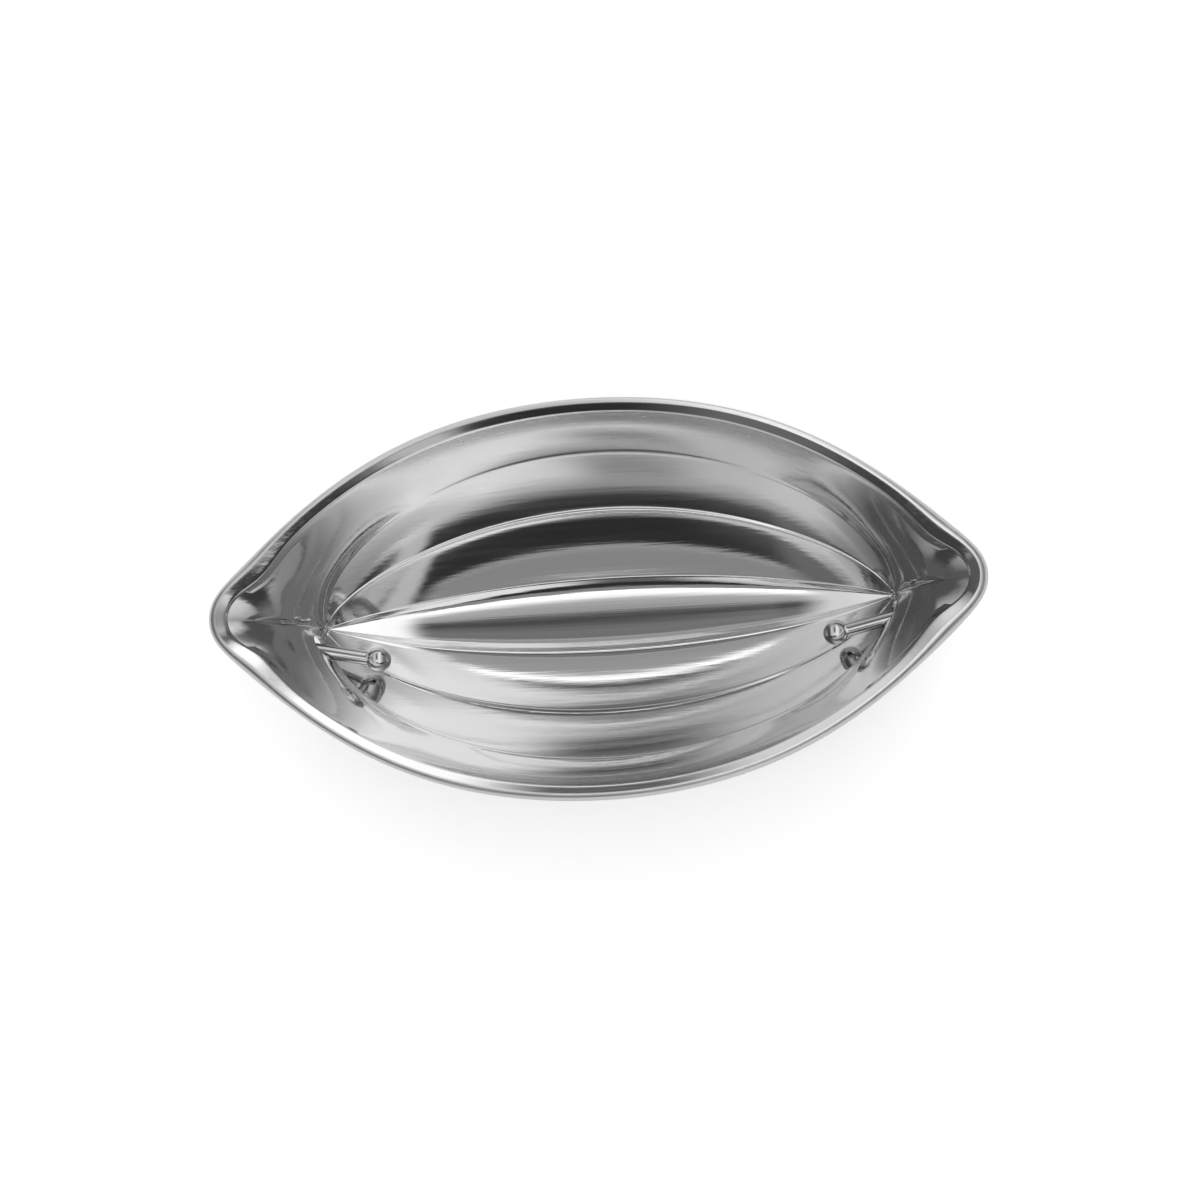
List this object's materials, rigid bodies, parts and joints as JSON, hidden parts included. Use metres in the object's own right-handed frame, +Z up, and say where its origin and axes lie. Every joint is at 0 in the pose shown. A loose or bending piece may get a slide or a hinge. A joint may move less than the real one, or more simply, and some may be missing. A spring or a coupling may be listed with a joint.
{
  "type": "rice mould",
  "caption": "Pointed oval rice mould of pressed stainless sheet with lengthwise lobes, a rolled rim and a swinging wire bail with ball-ended hooks.",
  "frame": {"origin": "on the table, under the middle of the mould standing open side up", "axes": "+X from tip to tip, +Y across, away from the side that the resting bail lies on, +Z up out of the open side"},
  "size_m": [0.16, 0.0826, 0.031],
  "materials": {
    "shell_steel": "bright polished stainless sheet with fine lengthwise polishing marks",
    "wire_steel": "bright drawn stainless wire with polished balls"
  },
  "bodies": {
    "mould": {"mould_shell": "shell_steel"},
    "bail": {"bail_wire": "wire_steel", "ball_end_left": "wire_steel", "ball_end_right": "wire_steel"}
  },
  "joints": [
    {"name": "bail_swing", "type": "hinge", "parent": "mould", "child": "bail", "pos_m": [0, -0.0055, 0.0126], "axis": [1, 0, 0], "range_deg": [-30, 85]}
  ]
}
